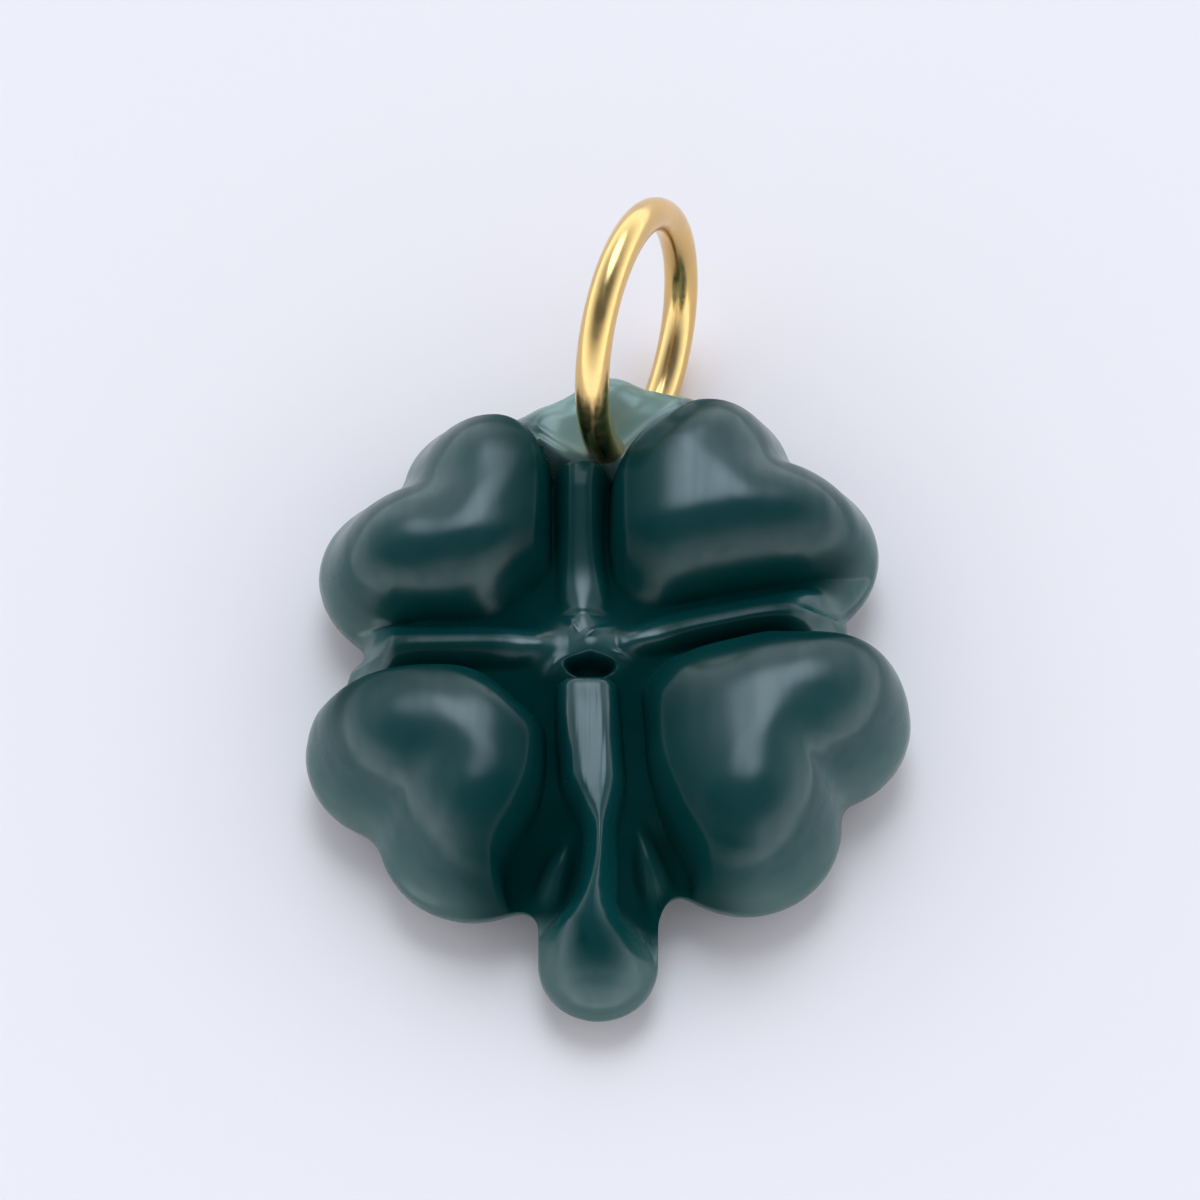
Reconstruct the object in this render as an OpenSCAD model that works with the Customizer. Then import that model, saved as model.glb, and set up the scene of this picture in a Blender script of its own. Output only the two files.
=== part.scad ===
// Four leaf clover pendant: one carved stone and the jump ring through its tab.
// The flat back lies on z = 0, +Y runs from the stem to the tab, and the
// origin is on the back, under the small star where the four leaves meet.

/* [Stone outline] */
// Reach of the longest lobe from the star at the centre
leaf_reach = 10; // [8.5:0.5:12]
// Width of the thin rim that runs round the swollen leaves
rim_width = 0.45; // [0.3:0.05:0.6]
// Distance from the star to the tip of the stem
stem_reach = 11.5; // [11:0.1:13]
// Width of the rounded paddle at the end of the stem
paddle_width = 3.45; // [3:0.05:4]
// How far the tab stands out past the tops of the upper leaves
tab_stand = 0.45; // [0.2:0.05:1]

/* [Stone heights] */
// Height of the swollen leaves above the back
leaf_height = 4.9; // [4.5:0.1:5.8]
// Height of the outline's widest line above the back
girdle_height = 1.5; // [1.2:0.1:1.8]
// Height of the grooves beside the veins
groove_height = 2.75; // [2.55:0.05:2.95]
// Height of the veins' crests
vein_height = 3.5; // [3.3:0.05:3.8]
// Height of the stem's broad upper band
stem_height = 3.75; // [3.5:0.05:4]
// Depth of the pit between the star and the stem
pit_depth = 0.6; // [0.2:0.1:0.8]
// Rise of the small knobs at the inner ends of the veins
knob_rise = 0.26; // [0:0.02:0.3]
// Distance over which the back's edge rounds up to the widest line
back_rounding = 1.9; // [1.4:0.1:2.2]

/* [Tab] */
// Thickness of the tab at its hole
tab_thickness = 1.3; // [1:0.1:1.6]
// Height of the tab's underside above the back
tab_lift = 1.9; // [1.5:0.1:2.1]
// Distance from the middle of the hole to the end of the tab
hole_margin = 2.5; // [2.2:0.1:2.8]
// Free space between the wire and the wall of the hole
hole_clearance = 0.2; // [0.16:0.02:0.3]

/* [Jump ring] */
// Diameter of the round wire
wire_diameter = 1; // [0.8:0.05:1.1]
// Inner diameter of the ring
ring_inner = 6.2; // [5.6:0.1:7]
// Turn of the ring's axis about the vertical, from +X
ring_turn = -18.9; // [-25:0.1:-10]
// Lean of the ring out of the upright
ring_lean = 10.6; // [4:0.1:14]

/* [Hidden] */

// Lobes of each leaf, lengths as shares of leaf_reach, the crown as a share of leaf_height: first lobe x, y,
// radius, second lobe x, y, radius, root x, y, crown, distance from the star to the corner cut for it, and
// how far out of the line between the lobes the leaf is filled
leaf_table = [
    [0.335, 0.637, 0.205, 0.580, 0.370, 0.215, 0.175, 0.210, 0.98, 0.215, 0.20],
    [-0.310, 0.582, 0.205, -0.545, 0.300, 0.215, -0.195, 0.205, 0.97, 0.255, 0.16],
    [-0.570, -0.305, 0.220, -0.345, -0.568, 0.230, -0.225, -0.245, 1, 0.260, 0.19],
    [0.440, -0.543, 0.235, 0.655, -0.200, 0.225, 0.235, -0.225, 1, 0.200, 0.24],
];
// Webs that close the outline between the leaves, as shares of leaf_reach: end x, y, half width
web_table = [
    [-0.025, 0.560, 0.100],
    [-0.675, -0.045, 0.035],
    [0.695, 0.110, 0.045],
    [0.015, -0.660, 0.225],
];
// Each channel between two leaves runs out from the star: its direction; for the leaf side below it and the
// one above it the share that is a steep wall, the width of the dome as a share of leaf_reach and its power;
// the power of the vein's fall; then rows of run, low edge, high edge and centre as shares of leaf_reach,
// and crest as a share of vein_height
right_channel = [13, [0.30, 0.30, 2.2], [0, 0.27, 2.6], 2, [
    [0.06, -0.092, 0.080, -0.040, 0.86],
    [0.15, -0.090, 0.078, -0.040, 0.90],
    [0.26, -0.088, 0.076, -0.040, 0.98],
    [0.50, -0.088, 0.072, -0.040, 0.98],
    [0.62, -0.105, 0.072, -0.045, 0.92],
    [0.72, -0.130, 0.078, -0.040, 0.80],
    [0.82, -0.160, 0.090, -0.035, 0.64],
]];
top_channel = [90, [0.66, 0.26, 2], [0.66, 0.26, 2], 3.4, [
    [0.09, -0.075, 0.125, 0.022, 0.86],
    [0.30, -0.045, 0.120, 0.037, 0.98],
    [0.52, -0.045, 0.118, 0.038, 1.12],
    [0.60, -0.065, 0.120, 0.030, 1.08],
    [0.66, -0.130, 0.150, 0.020, 0.92],
    [0.77, -0.265, 0.240, 0, 0.86],
    [0.86, -0.400, 0.350, 0, 0.82],
]];
left_channel = [181, [0, 0.27, 2.6], [0.50, 0.30, 2.2], 2, [
    [0.06, -0.085, 0.092, 0.015, 0.86],
    [0.17, -0.086, 0.093, 0.015, 0.90],
    [0.30, -0.088, 0.095, 0.015, 0.97],
    [0.54, -0.090, 0.095, 0.015, 0.97],
    [0.62, -0.095, 0.105, 0.015, 0.90],
    [0.70, -0.105, 0.125, 0.015, 0.78],
    [0.78, -0.120, 0.150, 0.015, 0.62],
]];
stem_channel = [270, [0.70, 0.22, 2], [0.55, 0.38, 2], 4, [
    [0.12, -0.150, 0.135, -0.010, 1],
    [0.30, -0.135, 0.150, 0, 1],
    [0.42, -0.135, 0.155, 0.010, 1],
    [0.52, -0.145, 0.180, 0.020, 1],
    [0.62, -0.190, 0.220, 0.020, 1],
    [0.70, -0.250, 0.280, 0.020, 1],
    [0.76, -0.260, 0.290, 0.010, 1],
    [0.86, -0.220, 0.260, 0, 1],
]];
// Line and form of the stem's crest: run as a share of stem_reach, sideways place as a share of
// paddle_width, height as a share of stem_height, half width as a share of paddle_width, power of its fall
stem_table = [
    [0.12, -0.05, 0.94, 0.25, 4.6],
    [0.25, -0.04, 1, 0.25, 4.6],
    [0.46, 0.01, 0.985, 0.25, 4.2],
    [0.51, 0.05, 0.96, 0.12, 2.2],
    [0.58, 0.06, 0.94, 0.10, 1.7],
    [0.68, 0.035, 0.90, 0.10, 1.6],
    [0.75, -0.03, 0.85, 0.14, 1.7],
    [0.84, -0.05, 0.77, 0.36, 2],
    [0.91, 0, 0.68, 0.48, 2.3],
    [0.97, 0.03, 0.54, 0.50, 2.3],
];
// Knobs of the star: place, half length and half width as shares of leaf_reach, turn, rise over knob_rise
star_table = [
    [-0.032, 0.085, 0.075, 0.042, 90, 0.6],
    [-0.155, -0.040, 0.062, 0.048, 80, 0.6],
    [-0.120, -0.096, 0.040, 0.020, 55, 0.5],
    [0.122, -0.006, 0.062, 0.046, 25, 0.6],
    [-0.060, 0.040, 0.024, 0.010, -60, 0.3],
    [0.012, 0.020, 0.042, 0.011, 32, 0.35],
    [0.085, -0.055, 0.024, 0.009, -20, 0.3],
    [0.005, -0.020, 0.055, 0.045, 20, 0.4],
];

// Softness of the joins between lobes, between leaves and along a channel's edges
cleft_blend = 0.8;
notch_blend = 0.8;
stem_blend = 0.9;
tab_blend = 1;
core_blend = 0.5;
edge_softness = 0.035 * leaf_reach;
// Softness of the feet of the veins, and of the stem and the star
vein_softness = 0.15;
stem_softness = 0.2;
// Softness of the stem's table, as a share of stem_reach
table_softness_share = 0.04;
// Width of the rounded edge above the widest line, on the leaves and on the paddle
edge_width = 0.9;
paddle_edge = 1.5;
// Width of the steep wall that a leaf shows to a channel, and the power that rounds its top
wall_width = 0.6;
wall_power = 2.5;
// Foot of a leaf's outer side, the softness of its start, and the width and power of the swelling over it
foot_width = 0.45;
foot_softness = 0.5;
swell_width = 3.2;
swell_power = 0.8;
// Distance over which a leaf's cut corner rises beside the star
corner_width = 1.5;
// How far the lobes' middles are rounded off, and the softness of their join and of the filling
lobe_rounding = 0.9;
lobe_softness = 2.4;
fill_softness = 1.6;
// Start, end and fade of the right, top and left veins' ridges, as shares of leaf_reach
vein_table = [[0.05, 0.80, 0.18], [0.07, 0.61, 0.05], [0.05, 0.76, 0.18]];
// Where a vein's ridge rises before and after its start, and how many half widths its slopes run on
vein_before = 0.5;
vein_after = 0.3;
vein_slopes = 2;
// Depth of a vein's foot under the grooves, and of its faded ends
vein_foot = 0.3;
faded_depth = 0.8;
// Lowest height of the stem's feet under the grooves
stem_foot = 1.1;
// Height of the floor at the rim, the depth over which it rises, and how much lower it lies beside the stem
// at the rim and within, over a range of the run
rim_floor = 2;
floor_rise = [0.2, 1.6];
rim_drop = 0.45;
stem_drop = 0.8;
drop_run_shares = [0.46, 0.66];
// Fall of the stem's crest at its half width, then place, spread, height and fall of the folds beside it
crest_fall = 0.55;
fold_place = 0.58;
fold_start_share = 0.44;
fold_spread = 0.345;
fold_middle = 0.2;
fold_height_share = 0.68;
fold_fall = 1.8;
// Ranges of the run, as shares of stem_reach, over which the crest and the folds rise and the folds fade
crest_rise_shares = [0.09, 0.14];
fold_rise_shares = [0.40, 0.50];
fold_fade_shares = [0.60, 0.80];
// Ranges of the run over which the paddle's edge widens and its widest line sinks, and the share it sinks
paddle_run_shares = [0.76, 0.86];
sink_run_shares = [0.74, 0.9];
sink_share = 0.3;
// Pit under the star, as shares of leaf_reach: middle, half sizes, upper lip's height, slope and wall
pit_middle_shares = [-0.009, -0.07];
pit_half_shares = [0.085, 0.062];
pit_lip_share = -0.045;
pit_slope = 0.25;
pit_wall_share = 0.03;
// Depth of the soft dish round the tab's hole, and its place and radius as shares of leaf_reach
tab_dish = 0.5;
dish_place_share = 0.69;
dish_radius_share = 0.1;
// The tab's surface starts at a curved lip: the lip's range along and across the tab as shares of
// leaf_reach, and its curve and middle
lip_range_shares = [0.545, 0.625];
lip_sides_shares = [0.20, 0.34];
lip_curve = 0.2;
lip_middle = 0.2;
// Ranges over which the tab's widest line rises and its underside lifts, along and across
tab_rise_shares = [0.72, 0.84];
rise_sides_shares = [0.12, 0.26];
lift_range_shares = [0.46, 0.7];
lift_sides_shares = [0.12, 0.28];

// Round core under the star that closes the plan between the leaves
core_radius = 0.66 * leaf_reach;
// Number of points round the outline
around = 208;
// Rings of points, as shares of the way from the inner frame out to the outline
over_shares = [0.06, 0.11, 0.17, 0.23, 0.3, 0.37, 0.44, 0.51, 0.58,
               0.65, 0.71, 0.77, 0.82, 0.87, 0.91, 0.945, 0.972, 0.99];
under_shares = [0.975, 0.93, 0.83, 0.68, 0.4];
// Rings inside the inner frame, as shares of the way from the star out to it
star_shares = [0.25, 0.5, 0.75];
// The inner frame's corners lie near the roots of the leaves
frame_low = [-0.15, -0.14] * leaf_reach;
frame_high = [0.12, 0.13] * leaf_reach;
// Slope of the right channel, which the rings' spokes follow
spoke_slope = 0.23;
// How much closer the points stand where a channel meets the outline, and over what width
channel_crowding = 2;
crowding_width = 0.2 * leaf_reach;

leaf_top = 0.875 * leaf_reach;
tab_end = leaf_top + tab_stand;
tab_side = 0.05 * leaf_reach;
tab_half = 0.115 * leaf_reach;
star = [-0.025, -0.02] * leaf_reach;
star_radius = 0.17 * leaf_reach;
// Height of the star as a share of vein_height, and the power of its fall
star_crest_share = 0.92;
star_power = 1.7;
paddle_side = 0.015 * leaf_reach;

// Directions in the plane of the ring: along the surface, and up
ring_along = [-sin(ring_turn), cos(ring_turn), 0];
ring_up = [-cos(ring_turn) * sin(ring_lean), -sin(ring_turn) * sin(ring_lean), cos(ring_lean)];
ring_radius = (ring_inner + wire_diameter) / 2;
ring_height = ring_radius * cos(ring_lean) + wire_diameter / 2;
// Where the wire crosses the middle of the tab, as an angle round the ring
hole_middle = [tab_side, tab_end - hole_margin, tab_lift + tab_thickness / 2];
hole_angle = 180 + asin((ring_height - hole_middle[2]) / (ring_radius * cos(ring_lean)));
hole_arm = cos(hole_angle) * ring_along + sin(hole_angle) * ring_up;
hole_axis = -sin(hole_angle) * ring_along + cos(hole_angle) * ring_up;
ring_middle = hole_middle - ring_radius * hole_arm;
hole_radius = wire_diameter / 2 + hole_clearance;
// The wire rests near the hole's lower side, so the hole sits a little further out
hole_shift = -hole_arm * hole_clearance / 3;

function smooth_min(a, b, soft) = min(a, b) - pow(max(soft - abs(a - b), 0), 2) / (4 * soft);
function smooth_max(a, b, soft) = -smooth_min(-a, -b, soft);
function clamped(x) = min(max(x, 0), 1);
function smooth_step(a, b, x) = let (t = clamped((x - a) / (b - a))) t * t * (3 - 2 * t);
function smooth_over(range, x) = smooth_step(range[0], range[1], x);
function mix(a, b, t) = a + (b - a) * t;
function bell(p, middle, radius) = exp(-pow(norm(p - middle) / radius, 2));
// Swelling with round sides: turned oval about a middle
function oval_bell(p, middle, length, width, turn) =
    let (d = p - middle)
    exp(-pow(d * bearing(turn) / length, 2) - pow(d * bearing(turn + 90) / width, 2));

// Distance to a bar with round ends of two radii, less than zero inside it
function capsule(p, a, ra, b, rb) =
    let (d = b - a, t = clamped((p - a) * d / (d * d)))
    norm(p - a - t * d) - mix(ra, rb, t);

function blend_all(fields, soft, i = 0, so_far = 99) =
    i == len(fields) ? so_far : blend_all(fields, soft, i + 1, smooth_min(so_far, fields[i], soft));

function point(row, column) = [row[column], row[column + 1]] * leaf_reach;
function length(row, column) = row[column] * leaf_reach;

// Plan of one leaf: two bars from its root to its lobes, and one across between them
function leaf_plan(p, row) =
    let (root = point(row, 6), root_radius = 0.09 * leaf_reach, across_radius = 0.21 * leaf_reach)
    blend_all([capsule(p, root, root_radius, point(row, 0), length(row, 2)),
               capsule(p, root, root_radius, point(row, 3), length(row, 5)),
               capsule(p, 0.8 * point(row, 0), across_radius, 0.8 * point(row, 3), across_radius)],
              cleft_blend);

function stem_plan(p) =
    let (half = paddle_width / 2, end = [paddle_side, half - stem_reach], web = web_table[3])
    smooth_min(capsule(p, [0, 0], 0.1 * leaf_reach, point(web, 0), length(web, 2)),
               capsule(p, [paddle_side, -0.75 * leaf_reach], half, end, half), 0.6);

function tab_plan(p) =
    let (base_y = tab_end - 0.22 * leaf_reach, base_radius = 0.14 * leaf_reach)
    smooth_min(capsule(p, [-0.10 * leaf_reach, base_y], base_radius,
                          [0.15 * leaf_reach, base_y], base_radius),
               capsule(p, [0, 0.6 * leaf_reach], tab_half,
                          [tab_side, tab_end - tab_half], tab_half), 0.8);

// Plan of the whole stone, less than zero inside
function outline_field(p) =
    let (leaves = blend_all([for (row = leaf_table) leaf_plan(p, row) - rim_width], notch_blend),
         stem = smooth_min(leaves, stem_plan(p), stem_blend),
         tab = smooth_min(stem, tab_plan(p), tab_blend),
         webs = [for (i = [0:2]) capsule(p, [0, 0], 0.1 * leaf_reach,
                                         point(web_table[i], 0), length(web_table[i], 2))])
    smooth_min(blend_all(webs, core_blend, 0, tab), norm(p) - core_radius, core_blend);

// Distance from the star to the outline along a direction, found by steps inward
function outline_reach(direction, r, steps = 40) =
    let (gap = outline_field(direction * r))
    abs(gap) < 0.0005 || steps == 0 ? r : outline_reach(direction, r - 0.8 * gap, steps - 1);

function bearing(angle) = [cos(angle), sin(angle)];
function outline_point(angle) =
    bearing(angle) * outline_reach(bearing(angle), 1.2 * max(leaf_reach, stem_reach));

// Weight of a stretch of the outline: more where a channel meets it
function crowding(p) =
    1 + channel_crowding * max([for (channel = channels)
        p * bearing(channel[0]) > 0 ? exp(-pow(p * bearing(channel[0] + 90) / crowding_width, 2)) : 0]);

// Weighted sum of the sides of a closed line up to each of its points
function running_length(points) =
    let (sides = [for (i = [0:len(points) - 1])
        norm(points[(i + 1) % len(points)] - points[i]) * crowding(points[i])])
    [for (i = 0, sum = 0; i <= len(points); sum = sum + (i < len(points) ? sides[i] : 0), i = i + 1) sum];

// Point of the inner frame that a spoke to an outline point starts from
function spoke_start(p) =
    let (straight = [p[0], p[1] - spoke_slope * max(p[0] - frame_high[0], 0)])
    [for (i = [0:1]) min(max(straight[i], frame_low[i]), frame_high[i])];

// Columns of a channel's table, each against the run, in millimetres
function columns(channel) =
    [for (c = [1:4]) [for (row = channel[4])
        [row[0] * leaf_reach, row[c] * (c < 4 ? leaf_reach : vein_height)]]];
function softened(x, column, soft) =
    (lookup(x - soft, column) + lookup(x, column) + lookup(x + soft, column)) / 3;

channels = [right_channel, top_channel, left_channel, stem_channel];
channel_columns = [for (channel = channels) columns(channel)];

// Run along a channel, place across it, and its low edge, high edge, centre and crest there
function channel_at(p, i) =
    let (angle = channels[i][0], run = p * bearing(angle), across = p * bearing(angle + 90))
    [run, across, for (column = channel_columns[i]) softened(run, column, edge_softness)];

// Height share of a leaf at a distance in from a channel: a steep wall, and for the rest a slow dome
function side_shape(inside, side) =
    let (steep = 1 - pow(1 - clamped(inside / wall_width), wall_power))
    side[0] * steep + (1 - side[0]) * (1 - pow(1 - clamped(inside / (side[1] * leaf_reach)), side[2]));

// Height share of a leaf at a distance in from the outline: a hollow foot, then a swelling
function swell_shape(depth) =
    let (inside = smooth_max(depth - foot_width, 0, foot_softness))
    pow(1 - pow(1 - min(inside / swell_width, 1), 2), swell_power);

// Distance to a round lobe, less than zero inside it, whose middle is rounded off
function lobe(p, middle, radius) =
    sqrt(pow(norm(p - middle), 2) + pow(lobe_rounding, 2)) - norm([radius, lobe_rounding]);

// Height share of a leaf: its swelling, less its cut corner and its sides along the channels
function leaf_share(p, i, at) =
    let (row = leaf_table[i], before = at[i], after = at[(i + 1) % 4],
         one = point(row, 0), two = point(row, 3), middle = (one + two) / 2,
         side = (two - one) / norm(two - one), turned = [side[1], -side[0]],
         outward = turned * middle > 0 ? turned : -turned,
         lobes = smooth_min(lobe(p, one, length(row, 2)), lobe(p, two, length(row, 5)), lobe_softness),
         plan = smooth_min(lobes, (p - middle) * outward - length(row, 10), fill_softness),
         corner = (p - star) * middle / norm(middle) - length(row, 9))
    swell_shape(rim_width - plan) * (1 - pow(1 - clamped(corner / corner_width), 3))
    * side_shape(before[1] - before[3], channels[i][2])
    * side_shape(after[2] - after[1], channels[(i + 1) % 4][1]);

// Rounded ridge in a channel, between a start and an end of its run
function vein(z, at, i) =
    let (start = vein_table[i][0] * leaf_reach, end = vein_table[i][1] * leaf_reach,
         fade = vein_table[i][2] * leaf_reach, across = at[1] - at[4],
         half = across > 0 ? at[3] - at[4] : at[4] - at[2], fall = at[5] - groove_height + vein_foot,
         ridge = at[5] - fall * pow(min(abs(across) / half, vein_slopes), channels[i][3]),
         on = smooth_step(start - vein_before, start + vein_after, at[0])
              * (1 - smooth_step(end - fade, end, at[0])))
    on > 0 ? smooth_max(z, mix(groove_height - faded_depth, ridge, on), vein_softness) : z;

// 1 on the tab and 0 elsewhere, over a range along it and one across it
function tab_mask(p, ahead, range, sides) =
    smooth_over(range, ahead / leaf_reach) * (1 - smooth_over(sides, abs(p[0] - tab_side) / leaf_reach));
function tab_share(p) =
    tab_mask(p, p[1] - lip_curve * pow(p[0] - lip_middle, 2), lip_range_shares, lip_sides_shares);

function widest_height(p) =
    mix(girdle_height, tab_lift + tab_thickness / 2, tab_mask(p, p[1], tab_rise_shares, rise_sides_shares))
    - sink_share * girdle_height * smooth_over(sink_run_shares, -p[1] / stem_reach);

// Columns of the stem's table against the run
stem_columns = [for (c = [1:4]) [for (row = stem_table) [row[0], row[c]]]];

// Stem: a broad band near the star that narrows to a thin crest and widens again on the paddle, with a
// fold on each side of the crest
function stem_ridge(z, p) =
    let (run = -p[1] / stem_reach,
         look = [for (column = stem_columns) softened(run, column, table_softness_share)],
         crest = look[1] * stem_height, low = groove_height - stem_foot,
         off = abs(p[0] - look[0] * paddle_width) / (look[2] * paddle_width),
         ridge = crest - crest_fall * pow(off, look[3]),
         on = smooth_over(crest_rise_shares, run),
         with_ridge = on > 0 ? smooth_max(z, mix(low, ridge, on), stem_softness) : z,
         fold_on = smooth_over(fold_rise_shares, run) * (1 - smooth_over(fold_fade_shares, run)),
         place = fold_place + fold_spread * (run - fold_start_share) * stem_reach,
         off_fold = abs(p[0] - paddle_side - fold_middle) - place,
         fold = fold_height_share * crest - fold_fall * pow(off_fold, 2))
    fold_on > 0 ? smooth_max(with_ridge, mix(low, fold, fold_on), stem_softness) : with_ridge;

// Share of the little pit under the star: half an oval, steep on its star side
function pit_share(p) =
    let (d = p / leaf_reach - pit_middle_shares)
    smooth_step(0, pit_wall_share, pit_lip_share - pit_middle_shares[1] - d[1] - pit_slope * abs(d[0]))
    * (1 - smooth_step(0.3, 1, pow(d[0] / pit_half_shares[0], 2) + pow(d[1] / pit_half_shares[1], 2)));

// Star with a knob at the end of each vein, and the pit under it
function star_relief(z, p) =
    let (q = p / leaf_reach, crest = star_crest_share * vein_height,
         dome = crest - (crest - groove_height) * pow(norm(p - star) / star_radius, star_power),
         knobs = [for (row = star_table) row[5] * oval_bell(q, [row[0], row[1]], row[2], row[3], row[4])])
    smooth_max(z, dome, stem_softness) + knob_rise * (knobs * [for (row = star_table) 1])
    - pit_depth * pit_share(p);

// Floor of the channels: near level within the stone, lower beside the stem, falling off at the rim
function floor_height(p, depth) =
    let (beside = smooth_over(drop_run_shares, -p[1] / stem_reach))
    mix(rim_floor - rim_drop * beside, groove_height - stem_drop * beside, smooth_over(floor_rise, depth));

function top_height(p) =
    let (depth = max(-outline_field(p), 0), at = [for (i = [0:3]) channel_at(p, i)],
         paddle = smooth_over(paddle_run_shares, -p[1] / stem_reach),
         edge = sqrt(1 - pow(1 - min(depth / mix(edge_width, paddle_edge, paddle), 1), 2)),
         dish_middle = [tab_side, dish_place_share * leaf_reach],
         dish = tab_dish * bell(p, dish_middle, dish_radius_share * leaf_reach),
         base = mix(floor_height(p, depth), tab_lift + tab_thickness - dish, tab_share(p)),
         veins = vein(vein(vein(base, at[0], 0), at[1], 1), at[2], 2),
         relief = star_relief(stem_ridge(veins, p), p),
         shares = [for (i = [0:3]) leaf_share(p, i, at)])
    mix(widest_height(p), raise_leaves(relief, shares), edge);

function raise_leaves(z, shares, i = 0) =
    i == 4 ? z : raise_leaves(mix(z, leaf_table[i][8] * leaf_height, shares[i]), shares, i + 1);

function under_height(p) =
    let (depth = max(-outline_field(p), 0), inside = min(depth / back_rounding, 1))
    mix(tab_lift * tab_mask(p, p[1], lift_range_shares, lift_sides_shares), widest_height(p),
        1 - sqrt(1 - pow(1 - inside, 2)));

module stone_body() {
    rough = [for (i = [0:359]) outline_point(i)];
    lengths = running_length(rough);
    even = [for (i = [0:360]) [lengths[i], i]];
    outline = [for (i = [0:around - 1]) outline_point(lookup(i / around * lengths[360], even))];
    starts = [for (p = outline) spoke_start(p)];
    inner = [for (i = [0:around - 1]) mix(starts[i], outline[i], over_shares[0] / 2)];
    plans = [
        for (share = star_shares) [for (p = inner) mix(star, p, share)],
        inner,
        for (share = over_shares) [for (i = [0:around - 1]) mix(starts[i], outline[i], share)],
    ];
    under_plans = [for (share = under_shares) [for (i = [0:around - 1]) mix(starts[i], outline[i], share)]];
    points = [
        [star[0], star[1], top_height(star)],
        for (plan = plans) for (p = plan) [p[0], p[1], top_height(p)],
        for (p = outline) [p[0], p[1], widest_height(p)],
        for (plan = under_plans) for (p = plan) [p[0], p[1], under_height(p)],
        [star[0], star[1], under_height(star)],
    ];
    // Each quad is split along the diagonal whose ends lie nearer in height
    rows = len(plans) + len(under_plans) + 1;
    last = len(points) - 1;
    faces = [
        for (j = [0:around - 1]) [0, 1 + (j + 1) % around, 1 + j],
        for (i = [0:rows - 2]) for (j = [0:around - 1])
            let (a = 1 + i * around + j, b = 1 + i * around + (j + 1) % around,
                 c = b + around, d = a + around)
            each (abs(points[a][2] - points[c][2]) < abs(points[b][2] - points[d][2])
                  ? [[a, b, c], [a, c, d]] : [[a, b, d], [b, c, d]]),
        for (j = [0:around - 1])
            let (a = 1 + (rows - 1) * around + j, b = 1 + (rows - 1) * around + (j + 1) % around)
            [a, b, last],
    ];
    polyhedron(points, faces);
}

// Turn an upright cylinder so that it lies along a direction
module along(direction) {
    rotate([0, acos(direction[2] / norm(direction)), atan2(direction[1], direction[0])]) children();
}

module clover() {
    color("darkslategray")
    difference() {
        stone_body();
        translate(hole_middle + hole_shift)
            along(hole_axis)
                cylinder(h = 4 * tab_thickness, r = hole_radius, center = true, $fn = 48);
    }
}

module jump_ring() {
    color("goldenrod")
    translate(ring_middle)
        rotate([0, 0, ring_turn])
            rotate([0, 90 - ring_lean, 0])
                rotate_extrude($fn = 96)
                    translate([ring_radius, 0])
                        circle(d = wire_diameter, $fn = 32);
}

clover();
jump_ring();
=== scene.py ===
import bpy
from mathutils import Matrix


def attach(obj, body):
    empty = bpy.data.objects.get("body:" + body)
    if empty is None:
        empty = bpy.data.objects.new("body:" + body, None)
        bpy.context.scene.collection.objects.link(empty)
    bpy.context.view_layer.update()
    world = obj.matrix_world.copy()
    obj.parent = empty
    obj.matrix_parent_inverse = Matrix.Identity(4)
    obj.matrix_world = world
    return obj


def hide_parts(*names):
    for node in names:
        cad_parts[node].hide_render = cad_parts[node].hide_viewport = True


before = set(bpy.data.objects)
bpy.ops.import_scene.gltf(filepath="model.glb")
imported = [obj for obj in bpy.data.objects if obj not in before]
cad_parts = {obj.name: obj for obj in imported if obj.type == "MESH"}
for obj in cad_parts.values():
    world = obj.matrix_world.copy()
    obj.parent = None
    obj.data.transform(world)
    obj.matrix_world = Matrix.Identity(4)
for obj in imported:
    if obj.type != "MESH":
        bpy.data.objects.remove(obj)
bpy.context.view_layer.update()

import math
import bpy
import numpy as np
from mathutils import Vector

mm = 0.001    # shapes are worked out in millimetres and scaled to metres as each mesh is made

# the carved stone, in millimetres; the tables below hold shares of leafReach, as the solid model's do
stoneSizes = {
    "leafReach": 10.0, "leafHeight": 4.9, "rimWidth": 0.45, "girdleHeight": 1.5, "backRounding": 1.9,
    "stemReach": 11.5, "stemHeight": 3.75, "paddleWidth": 3.45, "veinHeight": 3.5, "grooveHeight": 2.75,
    "pitDepth": 0.6, "knobRise": 0.26, "foldMiddle": 0.2, "polishDepth": 0.0026,
    "tabStand": 0.45, "tabThickness": 1.3, "tabLift": 1.9, "tabDish": 0.5, "lipRise": 0.10,
    "holeMargin": 2.5, "holeRadius": 0.7,
    "cleftBlend": 0.8, "notchBlend": 0.8,    # softness between a leaf's lobes, and between leaves
    "edgeWidth": 0.9, "paddleEdge": 1.5, "wallWidth": 0.6,
    "footWidth": 0.45, "footSoftness": 0.5, "swellWidth": 3.2, "swellPower": 0.8,
    "lobeRounding": 0.9, "lobeBlend": 2.4, "swellBlend": 1.6,
    "around": 760, "starRows": 30, "overRows": 92, "underRows": 26, "crowding": 1.6, "crowdWidth": 2.0,
    "creaseAngle": 50,                       # degrees past which an edge stays sharp
}
leafReach = stoneSizes["leafReach"]
# leaves: first lobe x, y, radius, second lobe x, y, radius, root x, y, crown over leafHeight, distance of
# the cut corner from the star, and how far out of the line between the lobes the dome begins to swell
leafTable = np.array([
    [0.335, 0.637, 0.205, 0.580, 0.370, 0.215, 0.175, 0.210, 0.98, 0.215, 0.20],
    [-0.310, 0.582, 0.205, -0.545, 0.300, 0.215, -0.195, 0.205, 0.97, 0.255, 0.16],
    [-0.570, -0.305, 0.220, -0.345, -0.568, 0.230, -0.225, -0.245, 1.0, 0.260, 0.19],
    [0.440, -0.543, 0.235, 0.655, -0.200, 0.225, 0.235, -0.225, 1.0, 0.200, 0.24],
])
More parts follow.
